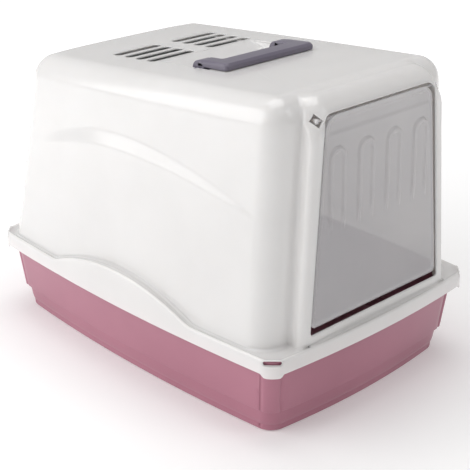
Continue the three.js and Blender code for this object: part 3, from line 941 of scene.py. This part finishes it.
def handle_ears():
    """The round arm ends and their stubs, turned about the pivot's axis with softened edges."""
    _, y, z = pivots["handle_fold"]
    wide = ARM_WIDE
    ear = rounded_profile(
        [
            (0, 0.0006, 0),
            (0, EAR_RADIUS, 0.0014),
            (wide, EAR_RADIUS, 0.0014),
            (wide, 0.0006, 0),
        ],
        step=0.003,
    )
    shape = spun_rod(ear, y, z, HANDLE_HALF - wide, columns=56)
    stub = rounded_profile(
        [(0, 0.0004, 0), (0, STUB_RADIUS, 0.0004), (0.012, STUB_RADIUS, 0.0007), (0.012, 0.0004, 0)],
        step=0.004,
    )
    pin = spun_rod(stub, y, z, HANDLE_HALF - 0.0055, columns=28)
    dot = rounded_profile([(0, 0.0004, 0), (0, 0.0031, 0.0006), (0.004, 0.0031, 0.0004), (0.004, 0.0004, 0)])
    boss = spun_rod(dot, y, z, HANDLE_HALF - wide - 0.0009, columns=28)
    one = together([shape, pin, boss])
    return together([one, mirrored(one)])


def make_handle(material):
    shape = together([handle_bail(), handle_ears()])
    handle = new_object("bail_handle", shape)
    settle(handle, math.radians(45))
    finished(handle, "handle", "handle_grey", material, "carry_handle")


# ---- filter ----

def make_filter(foam, plastic):
    pad = new_object("foam_pad", foam_surface())
    settle(pad)
    finished(pad, "hood", "filter_foam", foam, "carbon_filter")
    source = frame["nodes"]["filter_grille"]
    grille = source.copy()
    grille.data = source.data.copy()
    grille.name = "grille_clip"
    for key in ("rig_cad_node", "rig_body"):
        del grille[key]
    grille.parent = None
    bpy.context.scene.collection.objects.link(grille)
    weld = grille.modifiers.new("weld", "WELD")
    weld.merge_threshold = 0.00002
    settle(grille)
    flat = grille.modifiers.new("flat", "DECIMATE")
    flat.decimate_type = "DISSOLVE"
    flat.angle_limit = math.radians(1)
    bevel = grille.modifiers.new("edges", "BEVEL")
    bevel.width = 0.0005
    bevel.segments = 2
    bevel.limit_method = "ANGLE"
    settle(grille)
    finished(grille, "hood", "grille_white", plastic, "filter_grille")


def foam_surface():
    """The filter pad: a superellipse in plan and in section, so its faces crown slightly and its edges pull
    in, tipped to the roof's slope. A fine ripple stands for the foam's cells."""
    rows, columns = 40, 160
    polar = (np.arange(rows) + 0.5) / rows * math.pi - math.pi / 2
    turn = np.linspace(0, 2 * math.pi, columns, endpoint=False)
    half_x = (pad_high.x - pad_low.x) / 2
    half_y = (pad_high.y - pad_low.y) / 2
    half_z = 0.0038

    def squared(value, power):
        return np.sign(value) * np.abs(value) ** power

    ring = squared(np.cos(polar), 0.18)[:, None]
    x = half_x * ring * squared(np.cos(turn), 0.16)
    y = half_y * ring * squared(np.sin(turn), 0.16)
    lift = half_z * squared(np.sin(polar), 0.5)[:, None] * np.ones(columns)
    lift = lift * (0.90 + 0.05 * (1 - (x / half_x) ** 2) + 0.05 * (1 - (y / half_y) ** 2))
    middle = (pad_high + pad_low) / 2
    points = np.stack([x + middle.x, y + middle.y, middle.z + lift - ROOF_SLOPE * y], -1)
    return closed_tube(
        points,
        (middle.x, middle.y, middle.z - half_z),
        (middle.x, middle.y, middle.z + half_z),
    )


# ---- materials ----

def node_tree(name):
    material = bpy.data.materials.new(name)
    material.use_nodes = True
    tree = material.node_tree
    shader = tree.nodes["Principled BSDF"]
    coordinates = tree.nodes.new("ShaderNodeTexCoord")
    return material, tree, shader, coordinates.outputs["Object"]


def noise(tree, vector, scale, detail=4.0, roughness=0.5):
    texture = tree.nodes.new("ShaderNodeTexNoise")
    texture.inputs["Scale"].default_value = scale
    texture.inputs["Detail"].default_value = detail
    texture.inputs["Roughness"].default_value = roughness
    tree.links.new(vector, texture.inputs["Vector"])
    return texture.outputs["Fac"]


def ramp(tree, value, low, high, start=0.35, end=0.65):
    """Maps a 0 to 1 value onto two colours between start and end."""
    node = tree.nodes.new("ShaderNodeValToRGB")
    node.color_ramp.elements[0].position = start
    node.color_ramp.elements[0].color = low
    node.color_ramp.elements[1].position = end
    node.color_ramp.elements[1].color = high
    tree.links.new(value, node.inputs["Fac"])
    return node.outputs["Color"]


def in_range(tree, value, low, high):
    node = tree.nodes.new("ShaderNodeMapRange")
    node.inputs["From Min"].default_value = 0.3
    node.inputs["From Max"].default_value = 0.7
    node.inputs["To Min"].default_value = low
    node.inputs["To Max"].default_value = high
    tree.links.new(value, node.inputs["Value"])
    return node.outputs["Result"]


def mixed(tree, share, a, b):
    node = tree.nodes.new("ShaderNodeMix")
    node.data_type = "RGBA"
    tree.links.new(share, node.inputs["Factor"])
    tree.links.new(a, node.inputs["A"])
    node.inputs["B"].default_value = b
    return node.outputs["Result"]


def bumped(tree, shader, layers):
    """Adds bump layers of (height, strength, distance), each on top of the one before."""
    normal = None
    for height, strength, distance in layers:
        bump = tree.nodes.new("ShaderNodeBump")
        bump.inputs["Strength"].default_value = strength
        bump.inputs["Distance"].default_value = distance
        tree.links.new(height, bump.inputs["Height"])
        if normal is not None:
            tree.links.new(normal, bump.inputs["Normal"])
        normal = bump.outputs["Normal"]
    tree.links.new(normal, shader.inputs["Normal"])


def edge_wear(tree, vector, low=0.53, high=0.60):
    """1 where an edge is convex and its noise is high, from the mesh's own pointiness."""
    geometry = tree.nodes.new("ShaderNodeNewGeometry")
    edge = ramp(tree, geometry.outputs["Pointiness"], (0, 0, 0, 1), (1, 1, 1, 1), low, high)
    patch = ramp(tree, noise(tree, vector, 60.0), (0.2, 0.2, 0.2, 1), (1, 1, 1, 1))
    product = tree.nodes.new("ShaderNodeMath")
    product.operation = "MULTIPLY"
    tree.links.new(edge, product.inputs[0])
    tree.links.new(patch, product.inputs[1])
    return product.outputs[0]


def moulded(name, low, high, worn, gloss, coat=0.0, grain=0.0, glow=0.0):
    """Injection-moulded plastic: a slow drift between two tones, uneven gloss, faint flow marks, and paler
    edges. grain adds a fine texture, and glow is the share of light that passes into the wall and spreads."""
    material, tree, shader, vector = node_tree(name)
    tone = ramp(tree, noise(tree, vector, 7.0, 3.0), low, high)
    wear = edge_wear(tree, vector)
    tree.links.new(mixed(tree, wear, tone, worn), shader.inputs["Base Color"])
    rough = in_range(tree, noise(tree, vector, 12.0, 2.0), gloss - 0.015, gloss + 0.020)
    tree.links.new(rough, shader.inputs["Roughness"])
    shader.inputs["Coat Weight"].default_value = coat
    shader.inputs["Subsurface Weight"].default_value = glow
    shader.inputs["Subsurface Scale"].default_value = 0.008
    shader.inputs["Subsurface Radius"].default_value = (1.0, 0.95, 0.9)
    shader.inputs["Coat Roughness"].default_value = 0.12
    shader.inputs["IOR"].default_value = 1.49
    layers = [(noise(tree, vector, 5.0, 1.0), 0.04, 0.001), (noise(tree, vector, 900.0, 2.0), 0.05, 0.00006)]
    if grain:
        layers.append((noise(tree, vector, 1500.0, 3.0), grain, 0.0002))
    bumped(tree, shader, layers)
    return material


def smoke_plastic():
    """Translucent smoke-grey sheet of even density, with a slow drift in tone and gloss and a fine bump."""
    material, tree, shader, vector = node_tree("smoke_sheet")
    drift = noise(tree, vector, 9.0, 3.0)
    tone = ramp(tree, drift, (0.90, 0.89, 0.915, 1), (0.94, 0.93, 0.95, 1))
    wear = edge_wear(tree, vector)
    tree.links.new(mixed(tree, wear, tone, (0.94, 0.935, 0.95, 1)), shader.inputs["Base Color"])
    tree.links.new(in_range(tree, noise(tree, vector, 30.0), 0.10, 0.17), shader.inputs["Roughness"])
    shader.inputs["Coat Weight"].default_value = 0.5
    shader.inputs["Coat Roughness"].default_value = 0.08
    shader.inputs["Alpha"].default_value = 0.31
    shader.inputs["IOR"].default_value = 1.49
    bumped(tree, shader, [(noise(tree, vector, 500.0), 0.05, 0.0001)])
    return material


def carbon_foam():
    """Open-cell foam filled with carbon: small cells whose hollows are painted darker, as painted shade, and
    whose rims are paler.
    """
    material, tree, shader, vector = node_tree("carbon_foam")
    cells = tree.nodes.new("ShaderNodeTexVoronoi")
    cells.inputs["Scale"].default_value = 750.0
    tree.links.new(vector, cells.inputs["Vector"])
    # Painted shade: each cell is darkest in its hollow and palest on its rim.
    tone = ramp(tree, cells.outputs["Distance"], (0.010, 0.010, 0.011, 1), (0.050, 0.050, 0.053, 1), 0.2, 0.8)
    tree.links.new(tone, shader.inputs["Base Color"])
    tree.links.new(in_range(tree, noise(tree, vector, 80.0), 0.82, 0.96), shader.inputs["Roughness"])
    shader.inputs["Sheen Weight"].default_value = 0.2
    bumped(tree, shader, [(cells.outputs["Distance"], 0.6, 0.0008)])
    return material


# ---- stage ----

def make_camera():
    camera = bpy.data.cameras.new("camera")
    camera.lens = 90.39
    camera.sensor_width = 36
    holder = bpy.data.objects.new("camera", camera)
    holder.location = (-1.00334, -1.05813, 0.76733)
    yaw = 0.76784
    pitch = 0.41092
    holder.rotation_euler = (math.pi / 2 - pitch, 0, -yaw)
    bpy.context.scene.collection.objects.link(holder)
    bpy.context.scene.camera = holder


def area_light(name, place, aim, size, power, colour=(1, 1, 1)):
    light = bpy.data.lights.new(name, "AREA")
    light.shape = "RECTANGLE"
    light.size, light.size_y = size
    light.energy = power
    light.color = colour
    holder = bpy.data.objects.new(name, light)
    holder.location = place
    x, y, z = (a - b for a, b in zip(aim, place))
    holder.rotation_euler = (math.atan2(math.hypot(x, y), -z), 0, math.atan2(-x, y))
    bpy.context.scene.collection.objects.link(holder)


def make_studio():
    world = bpy.data.worlds.new("studio")
    bpy.context.scene.world = world
    world.use_nodes = True
    background = world.node_tree.nodes["Background"]
    background.inputs["Color"].default_value = (1, 0.99, 0.985, 1)
    background.inputs["Strength"].default_value = 0.45
    area_light("key", (-2.0, 1.1, 1.25), (0, 0, 0.2), (2.4, 1.9), 34)
    area_light("top", (0.2, 0.3, 2.4), (0, 0, 0.2), (1.8, 1.8), 21)
    area_light("fill", (0.8, -1.9, 1.9), (0, -0.2, 0.3), (1.1, 1.1), 5)
    bpy.context.scene.view_settings.view_transform = "Standard"


def make_floor():
    """A wide sheet on which the box stands: a square grid of points at height 0. It glows as painted light,
    weakly near the box and more strongly far out, which whitens it and lights the box from below.
    """
    line = np.linspace(-7, 7, 15)
    x, y = np.meshgrid(line, line)
    points = np.stack([x, y, np.full_like(x, -0.0004)], -1)
    floor = new_object("floor", (points.reshape(-1, 3), grid_faces(15, 15, False)))
    material, tree, shader, vector = node_tree("pale_floor")
    tone = ramp(tree, noise(tree, vector, 0.8), (0.86, 0.86, 0.86, 1), (0.89, 0.89, 0.89, 1))
    tree.links.new(tone, shader.inputs["Base Color"])
    tree.links.new(in_range(tree, noise(tree, vector, 30.0), 0.7, 0.8), shader.inputs["Roughness"])
    shader.inputs["Specular IOR Level"].default_value = 0.1
    # Painted light: the floor glows, with a strength of 0.17 near the box that rises to 0.50 far out.
    shader.inputs["Emission Color"].default_value = (1, 1, 1, 1)
    reach = tree.nodes.new("ShaderNodeVectorMath")
    reach.operation = "LENGTH"
    tree.links.new(vector, reach.inputs[0])
    floor_glow = tree.nodes.new("ShaderNodeMapRange")
    floor_glow.inputs["From Min"].default_value = 0.4
    floor_glow.inputs["From Max"].default_value = 1.8
    floor_glow.inputs["To Min"].default_value = 0.17
    floor_glow.inputs["To Max"].default_value = 0.50
    tree.links.new(reach.outputs["Value"], floor_glow.inputs["Value"])
    tree.links.new(floor_glow.outputs["Result"], shader.inputs["Emission Strength"])
    floor.data.materials.append(material)


make_camera()
make_studio()
make_floor()
white = moulded(
    "white_moulding",
    low=(0.79, 0.77, 0.755, 1),
    high=(0.83, 0.81, 0.795, 1),
    worn=(0.88, 0.87, 0.86, 1),
    gloss=0.20,
    coat=0.4,
    glow=0.55,
)
pink = moulded(
    "pink_moulding",
    low=(0.40, 0.155, 0.215, 1),
    high=(0.44, 0.175, 0.24, 1),
    worn=(0.52, 0.26, 0.32, 1),
    gloss=0.30,
    coat=0.15,
)
grey = moulded(
    "grey_moulding",
    low=(0.145, 0.13, 0.175, 1),
    high=(0.175, 0.16, 0.205, 1),
    worn=(0.32, 0.30, 0.36, 1),
    gloss=0.34,
    grain=0.08,
)
matte = moulded(
    "matte_moulding",
    low=(0.70, 0.68, 0.665, 1),
    high=(0.75, 0.73, 0.71, 1),
    worn=(0.80, 0.79, 0.78, 1),
    gloss=0.5,
    grain=0.12,
)
make_hood(white)
make_tray(pink)
make_door(smoke_plastic())
make_handle(grey)
make_filter(carbon_foam(), matte)
